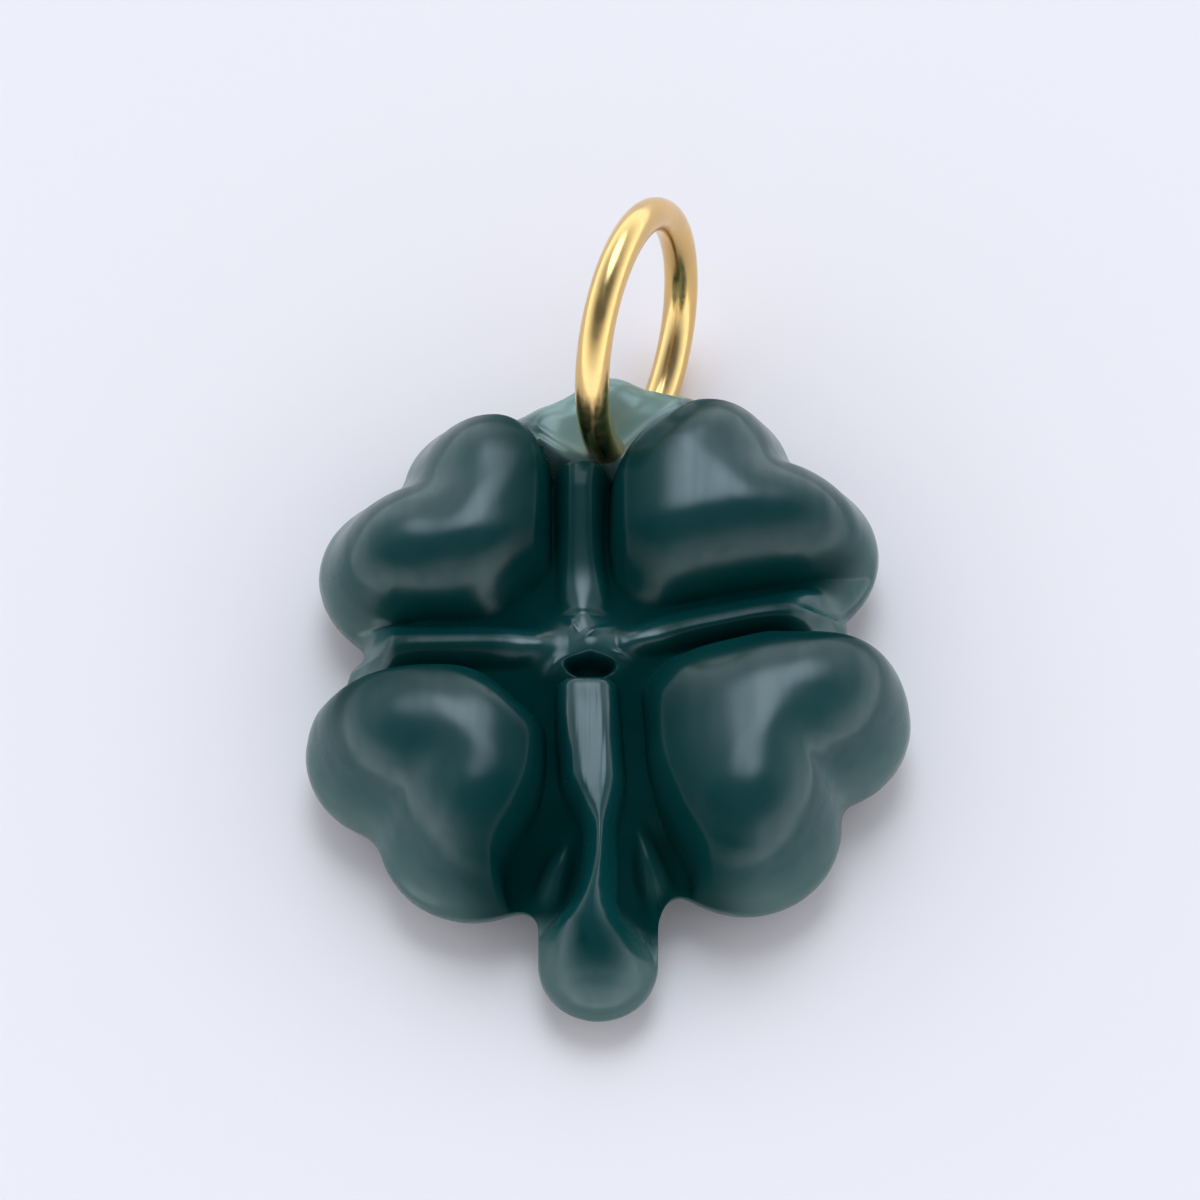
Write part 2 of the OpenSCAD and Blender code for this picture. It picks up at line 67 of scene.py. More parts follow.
# webs that close the outline between the leaves, the stem's last: end x, y, half width
webTable = np.array([[-0.025, 0.560, 0.100], [-0.675, -0.045, 0.035], [0.695, 0.110, 0.045],
                     [0.015, -0.660, 0.225]])
# channels between the leaves. A side holds the share of the leaf's height there that is a steep wall, then
# the width and the power of the rest. A vein holds the start and end of its run and the length in mm over
# which it fades. Rows hold run, low edge, high edge, centre, and crest over veinHeight.
channelTable = [
    {"degrees": 13, "lowSide": (0.30, 0.30, 2.2), "highSide": (0.00, 0.27, 2.6), "ridgePower": 2.0,
     "vein": (0.05, 0.80, 1.8),
     "rows": [[0.06, -0.092, 0.080, -0.040, 0.86], [0.15, -0.090, 0.078, -0.040, 0.90],
              [0.26, -0.088, 0.076, -0.040, 0.98], [0.50, -0.088, 0.072, -0.040, 0.98],
              [0.62, -0.105, 0.072, -0.045, 0.92], [0.72, -0.130, 0.078, -0.040, 0.80],
              [0.82, -0.160, 0.090, -0.035, 0.64]]},
    {"degrees": 90, "lowSide": (0.66, 0.26, 2.0), "highSide": (0.66, 0.26, 2.0), "ridgePower": 3.4,
     "vein": (0.07, 0.61, 0.5),
     "rows": [[0.09, -0.075, 0.125, 0.022, 0.86], [0.30, -0.045, 0.120, 0.037, 0.98],
              [0.52, -0.045, 0.118, 0.038, 1.12], [0.60, -0.065, 0.120, 0.030, 1.08],
              [0.66, -0.130, 0.150, 0.020, 0.92], [0.77, -0.265, 0.240, 0.000, 0.86],
              [0.86, -0.400, 0.350, 0.000, 0.82]]},
    {"degrees": 181, "lowSide": (0.00, 0.27, 2.6), "highSide": (0.50, 0.30, 2.2), "ridgePower": 2.0,
     "vein": (0.05, 0.76, 1.8),
     "rows": [[0.06, -0.085, 0.092, 0.015, 0.86], [0.17, -0.086, 0.093, 0.015, 0.90],
              [0.30, -0.088, 0.095, 0.015, 0.97], [0.54, -0.090, 0.095, 0.015, 0.97],
              [0.62, -0.095, 0.105, 0.015, 0.90], [0.70, -0.105, 0.125, 0.015, 0.78],
              [0.78, -0.120, 0.150, 0.015, 0.62]]},
    {"degrees": 270, "lowSide": (0.70, 0.22, 2.0), "highSide": (0.55, 0.38, 2.0), "ridgePower": 4.0,
     "vein": None,
     "rows": [[0.12, -0.150, 0.135, -0.010, 1.00], [0.30, -0.135, 0.150, 0.000, 1.00],
              [0.42, -0.135, 0.155, 0.010, 1.00], [0.52, -0.145, 0.180, 0.020, 1.00],
              [0.62, -0.190, 0.220, 0.020, 1.00], [0.70, -0.250, 0.280, 0.020, 1.00],
              [0.76, -0.260, 0.290, 0.010, 1.00], [0.86, -0.220, 0.260, 0.000, 1.00]]},
]
# knobs of the star: place, half length, half width, turn in degrees, rise over knobRise
starTable = [[-0.032, 0.085, 0.075, 0.042, 90, 0.6], [-0.155, -0.040, 0.062, 0.048, 80, 0.6],
             [-0.120, -0.096, 0.040, 0.020, 55, 0.5], [0.122, -0.006, 0.062, 0.046, 25, 0.6],
             [-0.060, 0.040, 0.024, 0.010, -60, 0.3], [0.012, 0.020, 0.042, 0.011, 32, 0.35],
             [0.085, -0.055, 0.024, 0.009, -20, 0.3], [0.005, -0.020, 0.055, 0.045, 20, 0.4]]
# line and form of the stem's crest: run, sideways place, height, half width, power of its fall to the sides
stemTable = np.array([
    [0.12, -0.05, 0.94, 0.25, 4.6], [0.25, -0.04, 1.00, 0.25, 4.6], [0.46, 0.01, 0.985, 0.25, 4.2],
    [0.51, 0.05, 0.96, 0.12, 2.2], [0.58, 0.06, 0.94, 0.10, 1.7], [0.68, 0.035, 0.90, 0.10, 1.6],
    [0.75, -0.03, 0.85, 0.14, 1.7], [0.84, -0.05, 0.77, 0.36, 2.0], [0.91, 0.00, 0.68, 0.48, 2.3],
    [0.97, 0.03, 0.54, 0.50, 2.3]])
leafTop = 0.875 * leafReach
tabEnd = leafTop + stoneSizes["tabStand"]
tabSide = 0.05 * leafReach
paddleSide = 0.015 * leafReach
star = np.array([-0.025, -0.020]) * leafReach


# the lesser of two fields, rounded where they meet: min(a, b) less the square of their closeness
def smoothMin(a, b, soft):
    return np.minimum(a, b) - np.maximum(soft - np.abs(a - b), 0) ** 2 / (4 * soft)


# the greater of two fields, rounded the same way: minus the smooth minimum of minus a and minus b
def smoothMax(a, b, soft):
    return -smoothMin(-a, -b, soft)


# rises from 0 at low to 1 at high along t squared times (3 - 2t)
def smoothStep(low, high, x):
    t = np.clip((x - low) / (high - low), 0, 1)
    return t * t * (3 - 2 * t)


# straight from a where t is 0 to b where t is 1
def mix(a, b, t):
    return a + (b - a) * t


# round bump 1 high: e to minus the squared distance from its middle over its squared radius
def bell(x, y, middleX, middleY, radius):
    return np.exp(-((x - middleX) ** 2 + (y - middleY) ** 2) / radius ** 2)


# distance to a bar with round ends of two radii, less than zero inside it
def capsule(x, y, ax, ay, ra, bx, by, rb):
    dx, dy = bx - ax, by - ay
    t = np.clip(((x - ax) * dx + (y - ay) * dy) / (dx * dx + dy * dy), 0, 1)
    return np.hypot(x - ax - t * dx, y - ay - t * dy) - mix(ra, rb, t)


# two bars from a leaf's root to its lobes and one across between them, blended
def leafPlan(x, y, row):
    oneX, oneY, oneR, twoX, twoY, twoR, rootX, rootY = row[:8] * leafReach
    rootR, acrossR, acrossPlace = 0.09 * leafReach, 0.21 * leafReach, 0.8
    field = smoothMin(capsule(x, y, rootX, rootY, rootR, oneX, oneY, oneR),
                      capsule(x, y, rootX, rootY, rootR, twoX, twoY, twoR), stoneSizes["cleftBlend"])
    across = capsule(x, y, acrossPlace * oneX, acrossPlace * oneY, acrossR,
                     acrossPlace * twoX, acrossPlace * twoY, acrossR)
    return smoothMin(field, across, stoneSizes["cleftBlend"])


# plan of the stem: a web from the star and the paddle's bar, blended
def stemPlan(x, y):
    half, webStart, webBlend = stoneSizes["paddleWidth"] / 2, 0.1 * leafReach, 0.6
    paddleStart, paddleEnd = -0.75 * leafReach, half - stoneSizes["stemReach"]
    return smoothMin(capsule(x, y, 0, 0, webStart, *(webTable[3] * leafReach)),
                     capsule(x, y, paddleSide, paddleStart, half, paddleSide, paddleEnd, half), webBlend)


# plan of the tab: a bar across its foot and one out to its end, blended
def tabPlan(x, y):
    footY, footR, endR = tabEnd - 0.22 * leafReach, 0.14 * leafReach, 0.115 * leafReach
    footLeft, footRight, tabStart = -0.10 * leafReach, 0.15 * leafReach, 0.6 * leafReach
    footBlend = 0.8
    return smoothMin(capsule(x, y, footLeft, footY, footR, footRight, footY, footR),
                     capsule(x, y, 0, tabStart, endR, tabSide, tabEnd - endR, endR), footBlend)


# plan of the whole stone, less than zero inside: leaves, stem, tab, webs and a round core, blended
def outlineField(x, y):
    stemBlend, tabBlend, webBlend = 0.9, 1.0, 0.5
    webStart, coreRadius = 0.1 * leafReach, 0.66 * leafReach
    field = np.full(np.shape(x), 99.0)    # far outside, so that the first leaf wins
    for row in leafTable:
        field = smoothMin(field, leafPlan(x, y, row) - stoneSizes["rimWidth"], stoneSizes["notchBlend"])
    field = smoothMin(field, stemPlan(x, y), stemBlend)
    field = smoothMin(field, tabPlan(x, y), tabBlend)
    for web in webTable[:3] * leafReach:
        field = smoothMin(field, capsule(x, y, 0, 0, webStart, *web), webBlend)
    return smoothMin(field, np.hypot(x, y) - coreRadius, webBlend)


# distance in from the outline, 0 outside it
def rimDepth(x, y):
    return np.maximum(-outlineField(x, y), 0)


# distance from the middle to the outline along each direction, by steps of four fifths of the gap that is
# left
def outlineReach(angles):
    steps, stepShare = 60, 0.8
    reach = np.full(angles.shape, 1.2 * stoneSizes["stemReach"])    # starts outside the stone
    for step in range(steps):
        reach = reach - stepShare * outlineField(reach * np.cos(angles), reach * np.sin(angles))
    return reach


# a table's columns at a run along it, each the mean of three readings a little apart, so that no row shows
# as a corner
def softRead(run, places, columns, soft):
    return [sum(np.interp(run + shift, places, column) for shift in (-soft, 0, soft)) / 3
            for column in columns]


# run along a channel, place across it, and its low edge, high edge, centre and crest there
def channelAt(x, y, channel):
    angle = math.radians(channel["degrees"])
    rows = np.array(channel["rows"])
    run = x * math.cos(angle) + y * math.sin(angle)
    across = -x * math.sin(angle) + y * math.cos(angle)
    low, high, centre, crest = softRead(run, rows[:, 0] * leafReach, rows[:, 1:].T, 0.035 * leafReach)
    return {"run": run, "across": across, "low": low * leafReach, "high": high * leafReach,
            "centre": centre * leafReach, "crest": crest * stoneSizes["veinHeight"]}


# distances of a point from the channel before a leaf and the one after it, more than zero on the leaf's
# side
def channelDistances(at, index):
    before, after = at[index], at[(index + 1) % 4]
    return before["across"] - before["high"], after["low"] - after["across"]


# distance out from where a leaf's corner is cut beside the star
def cornerDistance(x, y, index):
    row = leafTable[index]
    middleX, middleY = (row[0] + row[3]) / 2, (row[1] + row[4]) / 2
    out = ((x - star[0]) * middleX + (y - star[1]) * middleY) / math.hypot(middleX, middleY)
    return out - row[9] * leafReach


# height share of a leaf at a distance in from a channel: a steep wall, and for the rest of the height a
# slow dome, each 1 less a power of what is left of its width
def sideShape(inside, wall, width, power):
    wallPower = 2.5
    steep = 1 - (1 - np.clip(inside / stoneSizes["wallWidth"], 0, 1)) ** wallPower
    dome = 1 - (1 - np.clip(inside / (width * leafReach), 0, 1)) ** power
    return wall * steep + (1 - wall) * dome


# height share of a leaf that its channels and its cut corner leave: the product of its two sides and of 1
# less the cube of what is left of the corner's width, so 0 in the channels
def leafSides(x, y, index, at):
    cornerWidth = 1.5
    cut = 1 - (1 - np.clip(cornerDistance(x, y, index) / cornerWidth, 0, 1)) ** 3
    insideOne, insideTwo = channelDistances(at, index)
    return (sideShape(insideOne, *channelTable[index]["highSide"])
            * sideShape(insideTwo, *channelTable[(index + 1) % 4]["lowSide"]) * cut)


# height share of a leaf at a distance in from the outline: a hollow foot, then a power of a parabola
def swellShape(depth):
    inside = smoothMax(depth - stoneSizes["footWidth"], 0, stoneSizes["footSoftness"])
    return (1 - (1 - np.minimum(inside / stoneSizes["swellWidth"], 1)) ** 2) ** stoneSizes["swellPower"]


# distance to a round lobe, less than zero inside it, whose middle is rounded off
def lobe(x, y, middleX, middleY, radius):
    soft = stoneSizes["lobeRounding"]
    return np.sqrt((x - middleX) ** 2 + (y - middleY) ** 2 + soft ** 2) - math.hypot(radius, soft)


# swelling of a leaf: swellShape over a plan that blends its two lobes with all that lies inside a line
# across them
def leafSwell(x, y, index):
    row = leafTable[index]
    oneX, oneY, oneR, twoX, twoY, twoR = row[:6] * leafReach
    middleX, middleY = (oneX + twoX) / 2, (oneY + twoY) / 2
    sideX, sideY = twoX - oneX, twoY - oneY
    length = math.hypot(sideX, sideY)
    outX, outY = sideY / length, -sideX / length
    if outX * middleX + outY * middleY < 0:
        outX, outY = -outX, -outY
    lobes = smoothMin(lobe(x, y, oneX, oneY, oneR), lobe(x, y, twoX, twoY, twoR),
                      stoneSizes["lobeBlend"])
    beyond = (x - middleX) * outX + (y - middleY) * outY - row[10] * leafReach
    return swellShape(stoneSizes["rimWidth"] - smoothMin(lobes, beyond, stoneSizes["swellBlend"]))


# ridge of a vein laid over the floor: its crest less a power of the place across, faded in and out along
# its run
def addVein(z, at, channel):
    start, end, fade = channel["vein"][0] * leafReach, channel["vein"][1] * leafReach, channel["vein"][2]
    footDrop, startDrop, blend = 0.3, 0.8, 0.15
    off = at["across"] - at["centre"]
    half = np.where(off > 0, at["high"] - at["centre"], at["centre"] - at["low"])
    aside = np.minimum(np.abs(off) / half, 2)
    crest, groove = at["crest"], stoneSizes["grooveHeight"]
    ridge = crest - (crest - groove + footDrop) * aside ** channel["ridgePower"]
    on = smoothStep(start - 0.5, start + 0.3, at["run"]) * (1 - smoothStep(end - fade, end, at["run"]))
    return np.where(on > 0, smoothMax(z, mix(groove - startDrop, ridge, on), blend), z)


# 1 on the tab: a step up along y, bent to the lip's curve, times a step down to the sides, each between two
# shares of leafReach
def tabShare(x, y):
    lip, aside = y - 0.2 * (x - 0.2) ** 2, np.abs(x - tabSide)
    return smoothStep(0.545, 0.625, lip / leafReach) * (1 - smoothStep(0.20, 0.34, aside / leafReach))


# height of the outline's widest line: the girdle's, raised by steps to the tab's middle, and lowered by
# three tenths along the paddle
def widestHeight(x, y):
    girdle, tabMiddle = stoneSizes["girdleHeight"], stoneSizes["tabLift"] + stoneSizes["tabThickness"] / 2
    aside = np.abs(x - tabSide)
    tab = smoothStep(0.72, 0.84, y / leafReach) * (1 - smoothStep(0.12, 0.26, aside / leafReach))
    return mix(girdle, tabMiddle, tab) - 0.3 * girdle * smoothStep(0.74, 0.9, -y / stoneSizes["stemReach"])


# marks of the last polish along the stem: four sine waves across it whose places drift along it
def polishLines(x, y):
    waves = ((17.0, 1.4), (26.0, 1.9), (39.0, 2.3), (57.0, 2.8))    # closeness and drift of each wave's lines
    return stoneSizes["polishDepth"] * sum(
        np.sin(wave * x + drift * np.sin(0.9 * y + wave) + wave * wave) for wave, drift in waves)


# stem: a crest less a power of the place beside it, broad near the star, thin further on and broad again on
# the paddle, and a fold on each side of it that falls off with the square of the distance from its line
def addStem(z, x, y):
    stemReach, paddleWidth = stoneSizes["stemReach"], stoneSizes["paddleWidth"]
    run = -y / stemReach
    side, height, width, power = softRead(run, stemTable[:, 0], stemTable[:, 1:].T, 0.04)
    crest = height * stoneSizes["stemHeight"]
    startHeight, crestFall, blend = stoneSizes["grooveHeight"] - 1.1, 0.55, 0.2
    ridge = crest - crestFall * (np.abs(x - side * paddleWidth) / (width * paddleWidth)) ** power
    ridge = ridge + polishLines(x, y) * smoothStep(0.12, 0.20, run) * (1 - smoothStep(0.42, 0.52, run))
    on = smoothStep(0.09, 0.14, run)
    z = np.where(on > 0, smoothMax(z, mix(startHeight, ridge, on), blend), z)
    foldOn = smoothStep(0.40, 0.50, run) * (1 - smoothStep(0.60, 0.80, run))
    foldPlace = 0.58 + 0.345 * (run - 0.44) * stemReach
    foldShare, foldFall = 0.68, 1.8
    aside = np.abs(x - paddleSide - stoneSizes["foldMiddle"])
    fold = foldShare * crest - foldFall * (aside - foldPlace) ** 2
    return np.where(foldOn > 0, smoothMax(z, mix(startHeight, fold, foldOn), blend), z)


# 1 in the little pit under the star: half an oval, steep on its star side
def pitShare(x, y):
    qx, qy = x / leafReach, y / leafReach
    middleX, middleY, halfX, halfY, top = -0.009, -0.070, 0.085, 0.062, -0.045
    down = smoothStep(0, 0.030, top - qy - 0.25 * np.abs(qx - middleX))
    away = ((qx - middleX) / halfX) ** 2 + ((qy - middleY) / halfY) ** 2
    return down * (1 - smoothStep(0.3, 1.0, away))


# star: a low mound that falls with a power of the distance, a bell for each knob, and the pit taken off
def addStar(z, x, y):
    qx, qy = x / leafReach, y / leafReach
    moundX, moundY, moundRadius, moundPower, blend = -0.02, -0.02, 0.17, 1.7, 0.2
    crest, groove = 0.92 * stoneSizes["veinHeight"], stoneSizes["grooveHeight"]
    away = np.hypot(qx - moundX, qy - moundY) / moundRadius
    raised = smoothMax(z, crest - (crest - groove) * away ** moundPower, blend)
    for placeX, placeY, length, width, turn, rise in starTable:
        c, s = math.cos(math.radians(turn)), math.sin(math.radians(turn))
        along, beside = (qx - placeX) * c + (qy - placeY) * s, (qy - placeY) * c - (qx - placeX) * s
        knob = np.exp(-(along / length) ** 2 - (beside / width) ** 2)
        raised = raised + rise * stoneSizes["knobRise"] * knob
    return raised - stoneSizes["pitDepth"] * pitShare(x, y)


# floor of the channels: near level within the stone, lower beside the stem, falling off at the rim
def floorHeight(y, depth):
    rimFloor, rimDrop, stemDrop = 2.0, 0.45, 0.8
    beside = smoothStep(0.46, 0.66, -y / stoneSizes["stemReach"])
    return mix(rimFloor - rimDrop * beside, stoneSizes["grooveHeight"] - stemDrop * beside,
               smoothStep(0.2, 1.6, depth))


# two thin raised lines along the tab's lip, one within the other, which also place a painted highlight: bells
# about a curve whose places grow with a power of the distance from its middle
def lipLines(x, y):
    lineStart, lineGap, lineWidth, innerWidth = 5.82, 0.42, 0.12, 0.11
    aside = np.sqrt((x + 0.1) ** 2 + 0.05)
    ahead = y - lineStart - 0.55 * aside ** 1.25
    outer, inner = np.exp(-(ahead / lineWidth) ** 2), np.exp(-((ahead - lineGap) / innerWidth) ** 2)
    rise = stoneSizes["lipRise"]
    return (rise * outer + rise / 2 * inner) * (1 - smoothStep(2.3, 3.0, np.abs(x - 0.3)))


# height of the carved side: floor and tab, then the lip's lines, veins, stem and star laid over them, mixed
# with each leaf's crown by its swell times its sides, and brought down to the widest line along a quarter
# round at the rim
def topHeight(x, y):
    depth = rimDepth(x, y)
    paddle = smoothStep(0.76, 0.86, -y / stoneSizes["stemReach"])
    edgeWidth = mix(stoneSizes["edgeWidth"], stoneSizes["paddleEdge"], paddle)
    edge = np.sqrt(1 - (1 - np.minimum(depth / edgeWidth, 1)) ** 2)
    at = [channelAt(x, y, channel) for channel in channelTable]
    dish = stoneSizes["tabDish"] * bell(x, y, tabSide, 0.69 * leafReach, 0.1 * leafReach)
    tabTop = stoneSizes["tabLift"] + stoneSizes["tabThickness"] - dish
    z = mix(floorHeight(y, depth), tabTop, tabShare(x, y)) + lipLines(x, y)
    for place, channel in zip(at, channelTable):
        if channel["vein"]:
            z = addVein(z, place, channel)
    z = addStar(addStem(z, x, y), x, y)
    for index, row in enumerate(leafTable):
        z = mix(z, row[8] * stoneSizes["leafHeight"], leafSwell(x, y, index) * leafSides(x, y, index, at))
    return mix(widestHeight(x, y), z, edge)


# height of the back: flat, raised under the tab, and rounded up to the widest line along a quarter round at
# the rim
def underHeight(x, y):
    inside = np.minimum(rimDepth(x, y) / stoneSizes["backRounding"], 1)
    aside = np.abs(x - tabSide)
    tab = smoothStep(0.46, 0.7, y / leafReach) * (1 - smoothStep(0.12, 0.28, aside / leafReach))
    return mix(stoneSizes["tabLift"] * tab, widestHeight(x, y), 1 - np.sqrt(1 - (1 - inside) ** 2))


# how dull the polish is where a wheel reached, and how far painted shade darkens the body colour there, as
# shares from 0 to 1; reaches and the paddle's darker, duller spot (its place and radius) are in millimetres
dullAndShadeSizes = {
    "slopes": ((0.15, 0.85), (0.85, 0.15), (0.85, 0.85), (0.85, 0.85)),    # each leaf's, to its two channels
    "wallReach": 0.7, "slopeReach": (0.5, 2.4),
    "veins": 0.7, "folds": 0.72, "paddle": 0.6, "pit": 0.35,
    "paddleSpot": (-0.28, -9.8, 0.35), "spot": 0.8,
}


# 1 in the channels and on their walls, and less over the leaves' slopes beside them, fading with the
# distance in
def channelShare(x, y, at):
    walls, slopes = np.ones(np.shape(x)), np.zeros(np.shape(x))
    near, far = dullAndShadeSizes["slopeReach"]
    for index, (one, two) in enumerate(dullAndShadeSizes["slopes"]):
        insideOne, insideTwo = channelDistances(at, index)
        nearest = np.minimum(np.minimum(insideOne, insideTwo), cornerDistance(x, y, index))
        walls = np.minimum(walls, 1 - smoothStep(0.0, dullAndShadeSizes["wallReach"], nearest))
        slope = np.maximum(one * (1 - smoothStep(near, far, insideOne)),
                           two * (1 - smoothStep(near, far, insideTwo)))
        slopes = np.maximum(slopes, np.where(nearest > 0, slope, 0))
    return np.maximum(walls, slopes)


# where the polish is dull and painted shade darkens the body colour: 1 on the floor of the carved channels,
# less on their ridges, on the paddle and in the pit, 0 on the leaves and the tab: channelShare times a step
# for each of these, and the greatest of that and the paddle's and pit's own shares
def grooveDullAndShadeShare(x, y):
    depth = rimDepth(x, y)
    above = topHeight(x, y) - floorHeight(y, depth)
    at = [channelAt(x, y, channel) for channel in channelTable]
    sides = np.max([leafSides(x, y, index, at) for index in range(4)], axis=0)
    run = -y / stoneSizes["stemReach"]
    fromStar = np.hypot(x - star[0], y - star[1]) / leafReach
    veins = smoothStep(0.20, 0.28, fromStar) * (1 - smoothStep(0.06, 0.14, run))
    aside = np.abs(x - paddleSide - stoneSizes["foldMiddle"])
    folds = smoothStep(0.4, 0.8, aside) * smoothStep(0.42, 0.50, run)
    ridges = np.maximum(dullAndShadeSizes["veins"] * veins, dullAndShadeSizes["folds"] * folds)
    onRidge = smoothStep(0.1, 0.5, above) * (1 - smoothStep(0.05, 0.25, sides))
    within = mix(smoothStep(0.3, 1.1, depth), 1, smoothStep(0.35, 0.55, run))
    stemEnd = smoothStep(0.72, 0.79, run - 0.05 * smoothStep(0.8, 1.6, x))
    channels = channelShare(x, y, at) * mix(1, ridges, onRidge)
    channels = channels * within * (1 - stemEnd) * (1 - tabShare(x, y))
    paddle = dullAndShadeSizes["paddle"] * smoothStep(0.72, 0.84, run) * smoothStep(0.3, 1.3, depth)
    paddle = np.maximum(paddle, dullAndShadeSizes["spot"] * bell(x, y, *dullAndShadeSizes["paddleSpot"]))
    return np.maximum(np.maximum(channels, paddle), dullAndShadeSizes["pit"] * pitShare(x, y))


# a grid of points whose columns run round the outline, closer together at the channels, and whose rows run
# from the star out over a small box to the rim and back in under it
def stonePoints():
    fine = np.linspace(0, 2 * np.pi, 2881)    # every eighth of a degree
    reach = outlineReach(fine)
    x, y = reach * np.cos(fine), reach * np.sin(fine)
    crowd = np.max([
        np.where(x * math.cos(a) + y * math.sin(a) > 0,
                 np.exp(-((y * math.cos(a) - x * math.sin(a)) / stoneSizes["crowdWidth"]) ** 2), 0)
        for a in (math.radians(channel["degrees"]) for channel in channelTable)], axis=0)
    weight = 1 + stoneSizes["crowding"] * crowd[1:]
    run = np.concatenate([[0], np.cumsum(np.hypot(np.diff(x), np.diff(y)) * weight)])
    angles = np.interp(np.linspace(0, run[-1], stoneSizes["around"], endpoint=False), run, fine)
    reach = outlineReach(angles)
    edgeX, edgeY = reach * np.cos(angles), reach * np.sin(angles)
    boxLeft, boxRight = -0.15 * leafReach, 0.12 * leafReach
    boxLow, boxHigh = -0.14 * leafReach, 0.13 * leafReach
    rightVeinLean, topPower, underPower = 0.23, 1.6, 1.7    # the powers draw the rows together at the rim
    startX = np.clip(edgeX, boxLeft, boxRight)
    startY = np.clip(edgeY - rightVeinLean * np.maximum(edgeX - boxRight, 0), boxLow, boxHigh)
    inner = np.linspace(0, 1, stoneSizes["starRows"] + 1)[1:-1, None]
    outer = np.linspace(0, 1, stoneSizes["overRows"])[:, None]
    outer = mix(outer, 1 - (1 - outer) ** topPower, 0.5)
    under = 1 - (1 - np.linspace(1, 0, stoneSizes["underRows"] + 1)[1:-1, None]) ** underPower
    gridX, gridY = [
        np.concatenate([mix(middle, start, inner), mix(start, edge, outer), mix(start, edge, under)])
        for middle, start, edge in ((star[0], startX, edgeX), (star[1], startY, edgeY))]
    overRows = len(inner) + len(outer)
    top = topHeight(gridX[:overRows], gridY[:overRows])
    top[-1] = widestHeight(edgeX, edgeY)
    return gridX, gridY, np.concatenate([top, underHeight(gridX[overRows:], gridY[overRows:])])


# faces of a closed grid: quads between rows, and a fan of triangles at each end
def closedFaces(rows, columns, first, last):
    row = np.arange(rows - 1)[:, None] * columns
    column = np.arange(columns)[None, :]
    beside = (column + 1) % columns
    quads = np.stack([row + column, row + columns + column, row + columns + beside, row + beside], -1)
    end = (rows - 1) * columns
    fans = np.concatenate([
        np.stack([np.full(columns, first), column[0], beside[0]], -1),
        np.stack([end + beside[0], end + column[0], np.full(columns, last)], -1)])
    return quads.reshape(-1, 4), fans


# a smoothly shaded object from points in millimetres and faces
def makeMesh(name, points, quads, fans=()):
    mesh = bpy.data.meshes.new(name)
    mesh.from_pydata((points * mm).tolist(), [], quads.tolist() + [list(fan) for fan in fans])
    mesh.polygons.foreach_set("use_smooth", np.ones(len(mesh.polygons), bool))
    mesh.update()
    piece = bpy.data.objects.new(name, mesh)
    bpy.context.collection.objects.link(piece)
    return piece


# one number for each of a mesh's points, which a material reads by its name
def addAttribute(mesh, name, values):
    attribute = mesh.attributes.new(name, "FLOAT", "POINT")
    attribute.data.foreach_set("value", values.astype(np.float32))


# the jump ring, in millimetres and degrees: where its wire crosses the middle of the tab fixes its place,
# as in the solid model
ringSizes = {
    "wireDiameter": 1.0, "innerDiameter": 6.2, "turn": -18.9, "lean": 10.6, "clearance": 0.2,
    "around": 256, "sides": 48, "seamAngle": 268.0, "seamDepth": 0.012, "seamWidth": 0.03,
}
turn, lean = math.radians(ringSizes["turn"]), math.radians(ringSizes["lean"])
wireRadius = ringSizes["wireDiameter"] / 2
ringRadius = ringSizes["innerDiameter"] / 2 + wireRadius
ringAlong = np.array([-math.sin(turn), math.cos(turn), 0])
ringUp = np.array([-math.cos(turn) * math.sin(lean), -math.sin(turn) * math.sin(lean), math.cos(lean)])
ringNormal = np.cross(ringAlong, ringUp)
ringHeight = ringRadius * math.cos(lean) + wireRadius
holeMiddle = np.array([tabSide, tabEnd - stoneSizes["holeMargin"],
                       stoneSizes["tabLift"] + stoneSizes["tabThickness"] / 2])
holeAngle = math.pi + math.asin((ringHeight - holeMiddle[2]) / (ringRadius * math.cos(lean)))
holeArm = math.cos(holeAngle) * ringAlong + math.sin(holeAngle) * ringUp
holeAxis = -math.sin(holeAngle) * ringAlong + math.cos(holeAngle) * ringUp
ringMiddle = holeMiddle - ringRadius * holeArm
holeShift = -holeArm * ringSizes["clearance"] / 3    # the wire rests near the hole's lower side


# the cutter for the tab's hole: circles of the hole's radius along a straight line, closed at both ends; its
# faces point inwards, a fault still open, so the Boolean in makeStone leaves the hole closed
def holeCutter():
    sides, rows, halfLength = 64, 5, 2.6
    angles = np.linspace(0, 2 * np.pi, sides, endpoint=False)[None, :]
    side = np.cross(holeAxis, [0.0, 0.0, 1.0])
    side /= np.linalg.norm(side)
    other = np.cross(holeAxis, side)
    along = np.linspace(-halfLength, halfLength, rows)[:, None]
    circle = np.cos(angles)[..., None] * side + np.sin(angles)[..., None] * other
    points = holeMiddle + holeShift + along[..., None] * holeAxis + stoneSizes["holeRadius"] * circle
    ends = [holeMiddle + holeShift + end * holeAxis for end in (-halfLength, halfLength)]
    quads, fans = closedFaces(rows, sides, rows * sides, rows * sides + 1)
    return makeMesh("holeCutter", np.concatenate([points.reshape(-1, 3), ends]), quads, fans)


